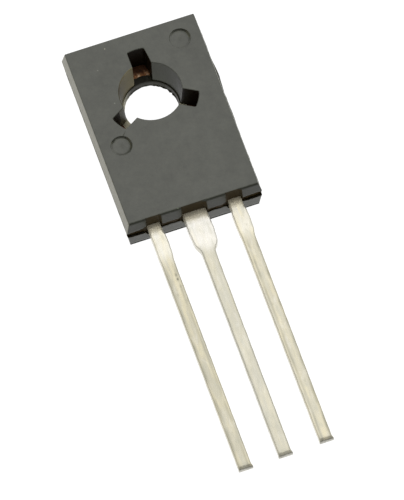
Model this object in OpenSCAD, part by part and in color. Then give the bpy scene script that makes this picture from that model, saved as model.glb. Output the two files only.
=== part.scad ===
// Power transistor in a flat three-lead plastic package with a mounting hole.
// Millimetres. Origin: mounting-hole axis, at the back face (the face that sits on a heat sink).
// +Z points out of the front face, +Y towards the mounting-hole end, and the leads run towards -Y.

/* [Moulded body] */
// Width of the body at its parting line
body_w = 7.65; // [7.4:0.05:7.8]
// Length of the body at its parting line
body_l = 11.05; // [10.9:0.05:11.2]
// Thickness of the body, back face to front face
body_t = 2.42; // [2.35:0.01:2.7]
// Height of the parting line above the back face
part_z = 1.43; // [1.4:0.01:1.5]
// How far the front face is set in from the parting line at each long side
front_side_in = 0.15; // [0.1:0.01:0.2]
// The same at the mounting-hole end
front_top_in = 0.14; // [0.1:0.01:0.2]
// The same at the lead end
front_lead_in = 0.20; // [0.15:0.01:0.22]
// How far the back face is set in from the parting line at each long side
back_side_in = 0.16; // [0.1:0.01:0.2]
// The same at the mounting-hole end
back_top_in = 0.14; // [0.1:0.01:0.2]
// The same at the lead end
back_lead_in = 0.10; // [0.05:0.01:0.15]

/* [Mounting hole] */
// Distance from the hole axis to the hole-end edge of the parting line
hole_from_top = 3.77; // [3.7:0.01:3.9]
// Radius of the hole's straight length at the back
hole_r = 1.50; // [1.46:0.01:1.54]
// Radius of the tapered bore where it meets the straight length
bore_r_low = 1.57; // [1.56:0.01:1.6]
// Radius of the tapered bore at the front face
bore_r_front = 1.715; // [1.68:0.005:1.75]
// Width of each of the three locating notches around the bore
notch_w = 0.95; // [0.8:0.05:1.1]
// How far the notches reach from the hole axis, at the front face
notch_r_front = 2.615; // [2.5:0.005:2.7]
// The same at the bottom of the notch
notch_r_low = 2.55; // [2.4:0.01:2.6]

/* [Body details] */
// Diameter of each ejector-pin mark in the front face
ejector_d = 1.16; // [1:0.02:1.3]
// Depth of the ejector-pin marks
ejector_depth = 0.06; // [0.03:0.01:0.1]
// Distance of each ejector-pin mark from the hole axis, along X and along Y
ejector_xy = 2.52; // [2.45:0.01:2.6]
// Width of the relief in the front half above each outer lead
relief_w = 0.84; // [0.8:0.02:0.95]
// Width of the relief in the front half above the middle lead
relief_mid_w = 1.40; // [1.4:0.02:1.5]
// How deep the reliefs are cut back from the parting line's lead edge
relief_depth = 0.22; // [0.21:0.01:0.3]
// Height of the groove along the lead edge, just under the parting line
groove_h = 0.14; // [0.08:0.01:0.2]
// Depth of that groove
groove_depth = 0.10; // [0.05:0.01:0.15]

/* [Lead frame] */
// Distance between lead centres
pitch = 2.29; // [2.2:0.01:2.35]
// Width of a lead
lead_w = 0.72; // [0.65:0.01:0.75]
// Thickness of the copper strip that the tab and leads are stamped from
strip_t = 0.50; // [0.45:0.01:0.5]
// Length of the longest lead below the body's parting line
lead_l = 14.95; // [14:0.05:16]
// How much shorter the middle lead is sheared
mid_short = 0.04; // [0:0.01:0.2]
// How much shorter the base lead is sheared
base_short = 0.12; // [0:0.01:0.2]
// Width of the middle lead where it leaves the body
mid_w = 1.32; // [1.2:0.01:1.35]
// Distance below the body at which the middle lead starts to narrow
mid_shoulder = 1.78; // [1.5:0.01:2]
// How far the cut dam-bar stubs stand out of the outer leads
stub = 0.09; // [0.04:0.01:0.12]

/* [Heat-spreader tab] */
// Width of the tab where it is exposed at the back
tab_w = 5.30; // [5.2:0.05:5.4]
// How far the tab's locking ledge stands out beyond the exposed face
tab_lip = 0.25; // [0.15:0.01:0.3]
// Edge of the exposed tab towards the hole end, from the hole axis
tab_top = 2.90; // [2.85:0.01:2.95]
// Edge of the exposed tab towards the leads, from the hole axis
tab_low = -4.15; // [-4.2:0.01:-4.1]
// Radius of the hole in the tab, which the moulding lines with plastic
tab_hole_r = 1.90; // [1.85:0.01:1.95]

/* [Die and bonds] */
// Side of the square silicon die
die_w = 1.70; // [1.4:0.05:1.8]
// Thickness of the die
die_t = 0.28; // [0.2:0.01:0.35]
// Thickness of the solder under the die
solder_t = 0.04; // [0.03:0.01:0.06]
// Centre of the die, from the hole axis along Y
die_y = -3.15; // [-3.2:0.01:-3.1]
// Diameter of the emitter bond wire
emitter_wire_d = 0.15; // [0.12:0.01:0.16]
// Diameter of the base bond wire
base_wire_d = 0.13; // [0.12:0.01:0.15]

/* [Hidden] */
$fn = 96;
y_top = hole_from_top;
y_low = hole_from_top - body_l;
lead_z = part_z - strip_t;
die_z = strip_t + solder_t;
die_top = die_z + die_t;
foot_l = 0.36;
foot_h = 0.10;
arc_half = 50;
// where each wire is bonded to the die and to its lead's post, in plan
emitter_on_die = [-0.35, -3.50];
emitter_on_post = [-1.95, -5.30];
base_on_die = [0.45, -3.60];
base_on_post = [1.95, -5.30];

// The block with draft on every side wall: one outline across the width
// crossed with one outline along the length.
module drafted_block() {
    w = body_w / 2;
    intersection() {
        translate([0, y_top + 1, 0]) rotate([90, 0, 0]) linear_extrude(body_l + 2)
            polygon([[-w + back_side_in, 0], [w - back_side_in, 0], [w, part_z],
                     [w - front_side_in, body_t], [-w + front_side_in, body_t], [-w, part_z]]);
        rotate([90, 0, 90]) translate([0, 0, -w - 1]) linear_extrude(body_w + 2)
            polygon([[y_low + back_lead_in, 0], [y_top - back_top_in, 0], [y_top, part_z],
                     [y_top - front_top_in, body_t], [y_low + front_lead_in, body_t], [y_low, part_z]]);
    }
}

// The bore: straight at the back, tapered towards the front.
module bore() {
    translate([0, 0, -1]) cylinder(h = strip_t + 1, r = hole_r);
    k = (bore_r_front - bore_r_low) / (body_t - strip_t);
    translate([0, 0, strip_t]) cylinder(h = body_t - strip_t + 0.5, r1 = bore_r_low, r2 = bore_r_front + 0.5 * k);
}

// Three notches at 120 degrees, down to the tab, left by the pins that held it in the mould.
module notches() {
    k = (notch_r_front - notch_r_low) / (body_t - strip_t);
    intersection() {
        translate([0, 0, strip_t]) cylinder(h = body_t - strip_t + 0.5, r1 = notch_r_low, r2 = notch_r_front + 0.5 * k);
        union() for (a = [90, 210, 330])
            rotate([0, 0, a]) translate([0.9, -notch_w / 2, strip_t]) cube([3, notch_w, body_t]);
    }
}

module ejector_marks() {
    for (s = [-1, 1])
        translate([s * ejector_xy, s * ejector_xy, body_t - ejector_depth]) cylinder(h = 1, r = ejector_d / 2);
}

// Reliefs over the leads, and the groove along the lead edge.
module lead_edge_cuts() {
    for (i = [-1, 0, 1]) {
        w = i == 0 ? relief_mid_w : relief_w;
        translate([i * pitch - w / 2, y_low - 1, part_z]) cube([w, 1 + relief_depth, 3]);
    }
    translate([-body_w, y_low - 1, part_z - groove_h]) cube([2 * body_w, 1 + groove_depth, groove_h]);
}

module epoxy_body() {
    color([0.25, 0.25, 0.23])
    difference() {
        drafted_block();
        bore();
        notches();
        ejector_marks();
        lead_edge_cuts();
        tab_and_lead_shape();
        emitter_lead_shape();
        base_lead_shape();
        translate([-die_w / 2, die_y - die_w / 2, strip_t]) cube([die_w, die_w, solder_t + die_t]);
        bond_wire(emitter_on_die, emitter_on_post, emitter_wire_d);
        bond_wire(base_on_die, base_on_post, base_wire_d);
    }
}

// Tab, down-set arm and middle lead: one stamping.
module tab_and_lead_shape() {
    e = tab_w / 2;
    f = e + tab_lip;
    m = mid_w / 2;
    n = lead_w / 2;
    half = strip_t / 2;
    // bends of the 45 degree arm
    y0 = tab_low - tab_lip;
    y1 = y0 - lead_z;
    s = strip_t * tan(22.5);
    difference() {
        union() {
            // exposed face, and the wider ledge above it that the moulding grips
            linear_extrude(half)
                polygon([[-e, tab_low], [e, tab_low], [e, tab_top - 0.4], [e - 0.4, tab_top], [-e + 0.4, tab_top], [-e, tab_top - 0.4]]);
            translate([0, 0, half]) linear_extrude(strip_t - half)
                polygon([[-f, y0], [f, y0], [f, tab_top - 0.2], [f - 0.4, tab_top + 0.2], [-f + 0.4, tab_top + 0.2], [-f, tab_top - 0.2]]);
            // arm rising from the tab to the level of the leads
            rotate([90, 0, 90]) translate([0, 0, -m]) linear_extrude(mid_w)
                polygon([[y0 + 1, half], [y0 - half, half], [y1 - 0.01, lead_z], [y_low - 0.1, lead_z],
                         [y_low - 0.1, part_z], [y1 + s, part_z], [y0 + s, strip_t], [y0 + 1, strip_t]]);
            // lead with its shoulder
            translate([0, 0, lead_z]) linear_extrude(strip_t)
                polygon([[-m, y_low + 0.5], [-m, y_low - mid_shoulder], [-n, y_low - mid_shoulder - 0.42],
                         [-n, y_low - lead_l + mid_short], [n, y_low - lead_l + mid_short],
                         [n, y_low - mid_shoulder - 0.42], [m, y_low - mid_shoulder], [m, y_low + 0.5]]);
        }
        translate([0, 0, -1]) cylinder(h = 4, r = tab_hole_r);
    }
}

module collector_tab_and_lead() {
    color([0.78, 0.74, 0.66]) tab_and_lead_shape();
}

// An outer lead with a bonding post inside the body. side is -1 or +1, and
// stub_in and stub_out are the dam-bar stubs on its inner and outer edges.
module outer_lead_shape(side, shorter, stub_in, stub_out) {
    n = lead_w / 2;
    translate([side * pitch, 0, lead_z]) linear_extrude(strip_t)
        polygon([for (p = [[n + stub_out, y_low - 0.5], [n + stub_out, y_low - 1.85], [n, y_low - 2.1],
                           [n, y_low - lead_l + shorter], [-n, y_low - lead_l + shorter],
                           [-n, y_low - 2.1], [-n - stub_in, y_low - 1.85], [-n - stub_in, y_low - 0.5],
                           [-n, y_low - 0.3], [-n, -6.35], [-0.75, -6.0], [-0.75, -4.9],
                           [0.55, -4.9], [0.55, -6.15], [n, -6.35], [n, y_low - 0.3]])
                 [side * p[0], p[1]]]);
}

module emitter_lead_shape() { outer_lead_shape(-1, 0, stub, 0.01); }
module base_lead_shape() { outer_lead_shape(1, base_short, stub / 2, stub); }

module emitter_lead() {
    color([0.80, 0.78, 0.70]) emitter_lead_shape();
}

module base_lead() {
    color([0.80, 0.78, 0.70]) base_lead_shape();
}

module silicon_die() {
    color([0.30, 0.31, 0.36])
    translate([-die_w / 2, die_y - die_w / 2, die_z]) cube([die_w, die_w, die_t]);
}

module die_attach_solder() {
    color([0.70, 0.70, 0.70])
    translate([-die_w / 2, die_y - die_w / 2, strip_t]) cube([die_w, die_w, solder_t]);
}

// A looped wire between a wedge foot on the die and one on a lead's post:
// an arc in the upright plane through both feet.
module bond_wire(a, b, d) {
    run = norm(b - a);
    turn = atan2(b[1] - a[1], b[0] - a[0]);
    za = die_top + foot_h * 0.6;
    zb = part_z + foot_h * 0.6;
    chord = sqrt(run * run + (zb - za) * (zb - za));
    slope = atan2(zb - za, run);
    r = chord / (2 * sin(arc_half));
    translate([a[0], a[1], 0]) rotate([0, 0, turn]) {
        translate([-foot_l / 2, -d * 0.7, die_top]) cube([foot_l, d * 1.4, foot_h]);
        translate([run - foot_l / 2, -d * 0.7, part_z]) cube([foot_l, d * 1.4, foot_h]);
        translate([0, 0, za]) rotate([0, -slope, 0])
            translate([chord / 2, 0, -r * cos(arc_half)]) rotate([90, 0, 0]) rotate([0, 0, 90 - arc_half])
                rotate_extrude(angle = 2 * arc_half) translate([r, 0]) circle(r = d / 2, $fn = 24);
    }
}

module emitter_bond_wire() {
    color([0.85, 0.85, 0.86]) bond_wire(emitter_on_die, emitter_on_post, emitter_wire_d);
}

module base_bond_wire() {
    color([0.85, 0.85, 0.86]) bond_wire(base_on_die, base_on_post, base_wire_d);
}

epoxy_body();
collector_tab_and_lead();
emitter_lead();
base_lead();
silicon_die();
die_attach_solder();
emitter_bond_wire();
base_bond_wire();
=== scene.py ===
import math

import bmesh
import bpy
import numpy as np
from mathutils import Matrix, Vector


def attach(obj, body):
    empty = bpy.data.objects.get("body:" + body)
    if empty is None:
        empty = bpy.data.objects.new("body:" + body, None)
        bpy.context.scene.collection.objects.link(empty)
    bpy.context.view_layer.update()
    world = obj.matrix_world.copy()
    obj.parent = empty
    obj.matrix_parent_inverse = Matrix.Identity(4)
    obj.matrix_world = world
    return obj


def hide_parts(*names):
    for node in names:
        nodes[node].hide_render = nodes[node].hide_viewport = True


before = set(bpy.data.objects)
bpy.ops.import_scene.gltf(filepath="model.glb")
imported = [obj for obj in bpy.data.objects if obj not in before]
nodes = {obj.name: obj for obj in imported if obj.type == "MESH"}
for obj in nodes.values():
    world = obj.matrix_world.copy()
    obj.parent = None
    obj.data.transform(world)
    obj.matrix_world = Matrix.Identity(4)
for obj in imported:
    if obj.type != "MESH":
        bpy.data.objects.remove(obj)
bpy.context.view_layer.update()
scene = bpy.context.scene

# All shapes below are worked out in millimetres in the row frame and stored in metres.
MM = 0.001
HALF_W, Y_TOP, Y_LOW, T, Z_PART = 3.825, 3.77, -7.28, 2.42, 1.43
PITCH = 2.29
LEAD_Z0, LEAD_Z1 = 0.93, 1.43


# ---------------------------------------------------------------- helpers
def wave(seed, step, smooth=True):
    """A repeatable wandering value in -1..1 along a length in mm, with one knot every step."""
    vals = np.random.default_rng(seed).uniform(-1, 1, 512)

    def f(s):
        u = (np.asarray(s, float) + 100.0) / step
        i = np.floor(u).astype(int)
        t = u - i
        if smooth:
            t = t * t * (3 - 2 * t)
        return vals[i % 512] * (1 - t) + vals[(i + 1) % 512] * t

    return f


def bump(s, centre, width, height):
    """A smooth hump of that half-width and height."""
    t = np.clip(1 - np.abs((np.asarray(s, float) - centre) / width), 0, 1)
    return height * t * t * (3 - 2 * t)


def step(e0, e1, x):
    t = np.clip((np.asarray(x, float) - e0) / (e1 - e0), 0, 1)
    return t * t * (3 - 2 * t)


def new_object(name, verts, faces):
    me = bpy.data.meshes.new(name)
    me.from_pydata([tuple(v) for v in verts], [], faces)
    me.update()
    ob = bpy.data.objects.new(name, me)
    scene.collection.objects.link(ob)
    return ob


def loft(name, rings):
    """A closed solid from rings of equal point count, with flat end caps."""
    n = len(rings[0])
    verts = np.concatenate(rings)
    faces = []
    for k in range(len(rings) - 1):
        a, b = k * n, (k + 1) * n
        for i in range(n):
            j = (i + 1) % n
            faces.append((a + i, a + j, b + j, b + i))
    faces.append(tuple(reversed(range(n))))
    faces.append(tuple(range((len(rings) - 1) * n, len(rings) * n)))
    return new_object(name, verts, faces)


def clean(ob, dist=1e-5):
    bm = bmesh.new()
    bm.from_mesh(ob.data)
    bmesh.ops.remove_doubles(bm, verts=bm.verts, dist=dist)
    bmesh.ops.recalc_face_normals(bm, faces=bm.faces)
    bm.to_mesh(ob.data)
    bm.free()
    ob.data.update()


def boolean(ob, other, operation="DIFFERENCE", keep=False):
    m = ob.modifiers.new("bool", "BOOLEAN")
    m.operation, m.solver, m.object = operation, "EXACT", other
    m.use_self = False
    apply_modifiers(ob)
    if not keep:
        drop(other)


def apply_modifiers(ob):
    dg = bpy.context.evaluated_depsgraph_get()
    dg.update()
    me = bpy.data.meshes.new_from_object(ob.evaluated_get(dg), preserve_all_data_layers=True, depsgraph=dg)
    old = ob.data
    ob.modifiers.clear()
    ob.data = me
    bpy.data.meshes.remove(old)


def drop(ob):
    me = ob.data
    bpy.data.objects.remove(ob)
    if me.users == 0:
        bpy.data.meshes.remove(me)


def grow(ob, by):
    """Moves every point outwards a little, so that a cut clears the piece it is for."""
    bm = bmesh.new()
    bm.from_mesh(ob.data)
    bm.normal_update()
    moved = [v.co + v.normal * by for v in bm.verts]
    for v, co in zip(bm.verts, moved):
        v.co = co
    bm.to_mesh(ob.data)
    bm.free()


def to_metres(ob):
    ob.data.transform(Matrix.Scale(MM, 4))
    ob.data.update()


def shade(ob, angle=35):
    """Smooth shading with crisp edges above that angle, and flat faces kept flat."""
    me = ob.data
    me.polygons.foreach_set("use_smooth", [True] * len(me.polygons))
    me.set_sharp_from_angle(angle=math.radians(angle))
    m = ob.modifiers.new("normals", "WEIGHTED_NORMAL")
    m.mode, m.weight, m.keep_sharp, m.thresh = "FACE_AREA", 100, True, 0.001
    apply_modifiers(ob)


# ---------------------------------------------------------------- moulded body
# Each relief over a lead: left wall, right wall at the body's end, and how far its right wall slants in at the top
POCKETS = ((-2.715, -1.865, 0.11), (-0.70, 0.70, 0.25), (1.80, 2.70, 0.18))
BACK_WALL = 0.22  # depth of the reliefs over the leads
LEAD_LEFT = (-2.65, -0.645, 1.925)
LEAD_RIGHT = (-1.93, 0.67, 2.65)
SPACE = 0.042

flash_side = wave(11, 0.16)
flash_top = wave(12, 0.22)
flash_left = wave(13, 0.2)
groove_low = wave(14, 0.16)
groove_in = wave(15, 0.2)
edge_nick = wave(16, 0.07)
under_edge = wave(17, 0.12)


def insets(z):
    if z >= Z_PART:
        s = (z - Z_PART) / (T - Z_PART)
        return 0.15 * s, 0.14 * s
    s = (Z_PART - z) / Z_PART
    return 0.16 * s, 0.14 * s


def end_y(z):
    """Where the lead end's face is at a height."""
    return Y_LOW + np.where(z >= Z_PART, 0.135 * (z - Z_PART) / (T - Z_PART), 0.10 * (Z_PART - z) / Z_PART)


def round_off(r, up):
    """How far a rounded edge of that radius draws back at a height above its end."""
    up = max(up, 0.0)
    return r - math.sqrt(max(r * r - (r - up) ** 2, 0)) if up < r else 0.0


def block_counts():
    edges = [-3.74] + [e for p in POCKETS for e in p[:2]] + [3.74]
    return [max(3, int(round((b - a) / SPACE))) for a, b in zip(edges[:-1], edges[1:])]


COUNTS = block_counts()


def lead_edge_x(half, z=None):
    """Points along the lead edge: x, and how far each is into a relief, 0 on a block and 1 on the relief's back
    wall. With z, the blocks' lower corners are rounded and the reliefs' right walls slant."""
    xs, into = [], []
    start = -half
    ramp = np.linspace(0, 1, 8)
    for k, (left, right, slant) in enumerate(POCKETS):
        inner = right - 0.02
        if z is not None:
            s = min(max((z - Z_PART) / (T - Z_PART), 0), 1)
            left = left - 0.9 * round_off(0.21, z - 1.49)
            right = right + round_off(0.05, z - 1.49)
            inner = right - slant * (0.30 + 0.70 * min(s / 0.6, 1))
        n = COUNTS[2 * k]
        xs += list(start + (left - 0.012 - start) * np.arange(n) / n)
        into += [0.0] * n
        xs += list(left - 0.012 + 0.030 * ramp)
        into += list(step(0, 1, ramp))
        n = COUNTS[2 * k + 1]
        a, b = left + 0.018, inner - 0.012
        xs += list(a + (b - a) * np.arange(1, n) / n)
        into += [1.0] * (n - 1)
        xs += list(b + (right + 0.008 - b) * ramp)
        into += list(1 - ramp**1.15)
        start = right + 0.008
    n = COUNTS[-1]
    xs += list(start + (half - start) * np.arange(1, n + 1) / n)
    into += [0.0] * n
    return np.array(xs), np.array(into)


def body_ring(z, more=0.0, more_low=None, front=True, low=None, depth=None, fin=0.0):
    """One ring of points round the body, anticlockwise from the lead edge's left end.
    low(x, into) is the height that the lead end's points have instead of z, depth(x, into) is how far they are held
    back from the end, and fin is the share of the parting flash."""
    more_low = more if more_low is None else more_low
    si, ti = insets(z)
    w, yt = HALF_W - si - more, Y_TOP - ti - more
    rc = 0.055 if front else 0.04
    yl0 = float(end_y(z)) + more_low
    xs, into = lead_edge_x(w - rc, z if front else None)
    pts, nrm, code, inner = [np.c_[xs, np.full(len(xs), yl0)]], [np.tile([0.0, -1.0], (len(xs), 1))], [np.zeros(len(xs), int)], [into]

    def arc(cx, cy, a0):
        a = np.radians(np.linspace(a0, a0 + 90, 6))[1:-1]
        d = np.c_[np.cos(a), np.sin(a)]
        pts.append(np.array([cx, cy]) + rc * d)
        nrm.append(d)
        code.append(np.full(len(a), 1 if a0 in (-90, 0) else 3))
        inner.append(np.zeros(len(a)))

    def side(p, q, n, d, c):
        t = np.linspace(0, 1, n)[:, None]
        pts.append(np.array(p) * (1 - t) + np.array(q) * t)
        nrm.append(np.tile(d, (n, 1)))
        code.append(np.full(n, c))
        inner.append(np.zeros(n))

    arc(w - rc, yl0 + rc, -90)
    side((w, yl0 + rc), (w, yt - rc), 200, (1.0, 0.0), 1)
    arc(w - rc, yt - rc, 0)
    side((w - rc, yt), (-w + rc, yt), 120, (0.0, 1.0), 2)
    arc(-w + rc, yt - rc, 90)
    side((-w, yt - rc), (-w, yl0 + rc), 200, (-1.0, 0.0), 3)
    arc(-w + rc, yl0 + rc, 180)
    p, n, c, into = (np.concatenate(v) for v in (pts, nrm, code, inner))

    zz = np.full(len(p), float(z))
    close = np.clip(1 - (p[:, 1] - yl0) / 0.45, 0, 1)
    close = np.where(c == 2, 0.0, close * close * (3 - 2 * close))
    if low is not None:
        zl = low(p[:, 0], into)
        zz = zz + (zl - z) * close
        # the end face leans, so a point moved up or down it moves in or out too
        p[:, 1] += (end_y(zz) - float(end_y(z))) * close
    if front:
        back = np.maximum(Y_LOW + BACK_WALL, p[:, 1])
        p[:, 1] += (back - p[:, 1]) * into
    p += n * (flash(p, c) * fin)[:, None]
    if depth is not None:
        p[:, 1] = np.maximum(p[:, 1], Y_LOW + depth(p[:, 0], into))
    return np.c_[p, zz]


def flash(p, code):
    """How far the thin fin at the parting line stands out, by place. The right side has the most."""
    y, x = p[:, 1], p[:, 0]
    right = (
        0.010
        + 0.012 * np.clip(flash_side(y), 0, 1)
        + bump(y, 0.2, 1.15, 0.075)
        + bump(y, -0.55, 0.35, 0.012)
        + bump(y, -2.25, 0.8, 0.026)
        + bump(y, -1.3, 0.25, 0.02)
        + bump(y, 2.1, 0.5, 0.012)
        + bump(y, -6.4, 0.5, 0.010)
    )
    right = right * step(-7.0, -6.6, y) * (1 - step(3.0, 3.4, y))
    left = (0.006 + 0.010 * np.clip(flash_left(y), 0, 1)) * (1 - step(2.9, 3.4, y)) * step(-7.1, -6.8, y)
    top = 0.004 + 0.014 * np.clip(flash_top(x), 0, 1)
    return np.where(code == 1, right, np.where(code == 3, left, np.where(code == 2, top, 0.0)))


def groove_edges(x):
    """The groove at the lead end, where the halves' edges have broken away: the height of its upper and its lower
    lip. It is widest a little way in from each corner, and beside each lead's left edge."""
    a = np.where(x > 0, x - 0.17, -x)
    wide = step(2.45, 2.85, a) * (1 - 0.75 * step(3.40, 3.80, a))
    upper = 1.545 + 0.095 * wide + 0.030 * np.clip(under_edge(x), -0.6, 1) * (0.5 + 0.8 * wide)
    lower = 1.165 - 0.120 * wide + 0.030 * groove_low(x) + 0.020 * edge_nick(x)
    for xe in LEAD_LEFT:
        lower = lower - 0.40 * np.clip((x - xe + 0.17) / 0.15, 0, 1) * (1 - step(0.03, 0.25, x - xe))
    for xe in LEAD_RIGHT:
        lower = lower - 0.05 * bump(x, xe + 0.05, 0.16, 1.0)
    return upper, lower


def body_rings():
    rings = []

    def add(z, **kw):
        rings.append(body_ring(z, **kw))

    # back face and its small edge radius
    r = 0.035
    for a in (90, 65, 40, 18, 0):
        a = math.radians(a)
        add(r * (1 - math.cos(a)), more=r * (1 - math.sin(a)), front=False)

    def below(frac):
        """Heights up the lead end's lower face, as a share of the way to the groove."""
        return lambda x, i: frac * (groove_edges(x)[1] - 0.035)

    def lip(drop):
        return lambda x, i: groove_edges(x)[1] - drop

    def deep(x, into):
        """The groove is deep where it is wide, and only a soft dent elsewhere."""
        band = 0.085 + 0.015 * groove_in(x) + 0.10 * step(2.5, 2.9, np.abs(x))
        for xe in LEAD_LEFT:
            band = band + bump(x, xe - 0.08, 0.28, 0.09)
        band = np.minimum(band, 0.185)
        return band + (BACK_WALL - band) * into

    def part(t):
        return lambda x, into: t + 0 * x

    for z, f in ((0.16, 0.16), (0.35, 0.34), (0.6, 0.56), (0.85, 0.78), (1.1, 0.93)):
        add(z, front=False, low=below(f))
    add(1.25, front=False, low=lip(0.035))
    add(1.28, front=False, low=lip(0.010), depth=part(0.030))
    add(1.31, front=False, low=lip(0.0), depth=part(0.055))
    add(1.34, front=False, low=lip(0.03), depth=part(0.095))
    add(1.37, front=False, low=lip(0.12), depth=deep)
    add(1.40, front=False, low=lambda x, i: 1.385 + 0 * x, depth=deep)
    # the fin at the parting line, on the other three sides
    add(1.424, front=False, fin=1.0, low=lambda x, i: 1.410 + 0 * x, depth=deep)
    add(1.431, fin=1.0, low=lambda x, i: groove_edges(x)[0] - 0.045, depth=part(0.062))
    add(1.437, more=0.003, more_low=0.0, fin=1.0, low=lambda x, i: groove_edges(x)[0] - 0.020, depth=part(0.036))
    add(1.442, more=0.005, more_low=0.010, low=lambda x, i: groove_edges(x)[0] + 0.002)
    add(1.450, low=lambda x, i: groove_edges(x)[0] + 0.028)

    def above(z):
        return lambda x, i: groove_edges(x)[0] + 0.028 + (T - groove_edges(x)[0] - 0.028) * (z - 1.450) / (T - 1.450)

    for z in (1.475, 1.50, 1.525, 1.55, 1.58, 1.62, 1.67, 1.73, 1.82, 1.94, 2.06, 2.15, 2.21):
        add(z, low=above(z))
    r, rl = 0.05, 0.13
    for a in (0, 10, 20, 30, 40, 50, 60, 70, 80, 90):
        a = math.radians(a)
        z_low = T - rl * (1 - math.sin(a))
        add(T - r * (1 - math.sin(a)), more=r * (1 - math.cos(a)), more_low=rl * (1 - math.cos(a)), low=lambda x, i: z_low + 0 * x)
    rings[-1][:, 2] = T
    rings[0][:, 2] = 0.0
    return rings


def hole_outline(rb, rn, hw, n_arc=34):
    """The bore and its three notches as one closed outline, anticlockwise."""
    out = []
    for k in range(3):
        a0 = math.radians(90 + 120 * k)
        u, v = np.array([math.cos(a0), math.sin(a0)]), np.array([-math.sin(a0), math.cos(a0)])

        def P(along, across):
            return u * along + v * across

        jb, jn = math.sqrt(rb * rb - hw * hw), math.sqrt(rn * rn - hw * hw)
        # right wall outwards, with a small radius where it meets the bore and at the outer corner
        e = 0.035
        jr = math.sqrt(rb * rb - (hw + e) ** 2)
        wide = 0.10 if k == 0 else 0.0
        jw = math.sqrt(rb * rb - (hw + wide + e) ** 2)
        out += [P(jw, -hw - wide - e), P(jw + 0.035, -hw - wide - 0.010), P(jb + e, -hw - wide)]
        for t in np.linspace(0, 1, 8)[1:]:
            out.append(P(jb + e + (jn - 0.07 - jb - e) * t, -hw - wide * (1 - t) ** 0.8))
        for a in (25, 50, 75):
            a = math.radians(a)
            out.append(P(jn - 0.07 + 0.07 * math.sin(a), -hw + 0.07 * (1 - math.cos(a))))
        th = math.asin((hw - 0.07) / rn)
        for t in np.linspace(-th, th, 11):
            out.append(rn * (u * math.cos(t) + v * math.sin(t)))
        for a in (75, 50, 25):
            a = math.radians(a)
            out.append(P(jn - 0.07 + 0.07 * math.sin(a), hw - 0.07 * (1 - math.cos(a))))
        for t in np.linspace(1, 0, 8)[:-1]:
            out.append(P(jb + e + (jn - 0.07 - jb - e) * t, hw))
        out += [P(jb + e, hw), P(jb + 0.004, hw + 0.010), P(jr, hw + e)]
        b0 = a0 + math.atan2(hw + e, jr)
        wide = 0.10 if k == 2 else 0.0
        b1 = a0 + 2 * math.pi / 3 - math.atan2(hw + wide + e, math.sqrt(rb * rb - (hw + wide + e) ** 2))
        for t in np.linspace(b0, b1, n_arc)[1:-1]:
            out.append(rb * np.array([math.cos(t), math.sin(t)]))
    return np.array(out)


def bore_cutter():
    """Tapered bore with the notches, down to the step at 0.5 mm."""
    rings = []
    lip = 0.035
    z0, z1 = 0.5, T
    levels = [0.487, 0.53, 0.6, 0.8, 1.1, 1.4, 1.7, 2.0, 2.25, T - lip]
    flare = [0.0] * len(levels)
    for a in (20, 40, 60, 78):
        a = math.radians(a)
        levels.append(T - lip + lip * math.sin(a) )
        flare.append(lip * (1 - math.cos(a)))
    levels += [T + 0.03, T + 0.4]
    flare += [flare[-1] + 0.03, flare[-1] + 0.05]
    for z, f in zip(levels, flare):
        s = (min(z, T) - z0) / (z1 - z0)
        p = hole_outline(1.57 + 0.145 * s + f, 2.55 + 0.065 * s + f, 0.45 + 0.025 * s + f)
        rings.append(np.c_[p, np.full(len(p), z)])
    return loft("bore_cutter", rings)


def lining_cutter():
    """The straight length at the back, with the ragged fin of flash round its back edge."""
    fin_n = wave(21, 0.11)
    n = 180
    a = np.linspace(0, 2 * math.pi, n, endpoint=False)
    s = a * 1.5
    s_wrap = fin_n(s) * step(0, 0.5, s) + fin_n(s + 2 * math.pi * 1.5) * (1 - step(0, 0.5, s))
    deg = np.degrees(a)
    ragged = bump(deg, 38, 42, 1.0)
    fin = 0.028 + 0.014 * s_wrap + ragged * (0.030 + 0.032 * s_wrap) + bump(deg, 118, 26, 0.015) + bump(deg, 170, 30, 0.018)
    fin = np.clip(fin, 0.004, 0.10)
    rings = []
    for z, k in ((-0.4, 1.0), (0.004, 1.0), (0.016, 0.95), (0.034, 0.35), (0.06, 0.06), (0.10, 0.0), (0.17, 0.0), (0.29, 0.0), (0.45, 0.0), (0.485, -0.012), (0.6, -0.03)):
        r = 1.5 - fin * k if k >= 0 else np.full(n, 1.5 - k)
        rings.append(np.c_[r * np.cos(a), r * np.sin(a), np.full(n, z)])
    return loft("lining_cutter", rings)


def ejector_cutter(x, y, seed, side_deep, least, most, narrow, spot):
    """A shallow round mark, with a fine crease round its rim that is deepest on one side."""
    n = 72
    w = wave(seed, 0.12)
    a = np.linspace(0, 2 * math.pi, n, endpoint=False)
    s = a * 0.58
    wr = w(s) * step(0, 0.3, s) + w(s + 2 * math.pi * 0.58) * (1 - step(0, 0.3, s))
    deepest = 0.5 + 0.5 * np.cos(a - math.radians(side_deep))
    crease = least + most * deepest**narrow + 0.004 * wr + bump(np.degrees(a), spot, 22, 0.06)
    r0 = 0.58 + 0.006 * wr
    floor = 0.014 + 0.016 * deepest
    rings = []

    def add(r, z):
        rings.append(np.c_[x + r * np.cos(a), y + r * np.sin(a), z + 0 * a])

    # a closed cutter: floor, up to the crease, down it, out and up past the face
    add(0.02 + 0 * a, T - floor)
    add(0.30 + 0 * a, T - floor - 0.001)
    add(r0 - 0.130, T - floor)
    add(r0 - 0.095, T - floor - 0.25 * crease)
    add(r0 - 0.060, T - floor - 0.85 * crease)
    add(r0 - 0.030, T - floor - crease)
    add(r0 - 0.008, T - floor - crease * 0.9)
    add(r0, T - floor)
    add(r0 + 0.004, T - 0.012)
    add(r0 + 0.012, T + 0.001)
    add(r0 + 0.02, T + 0.2)
    return loft("ejector_cutter", rings)


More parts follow.
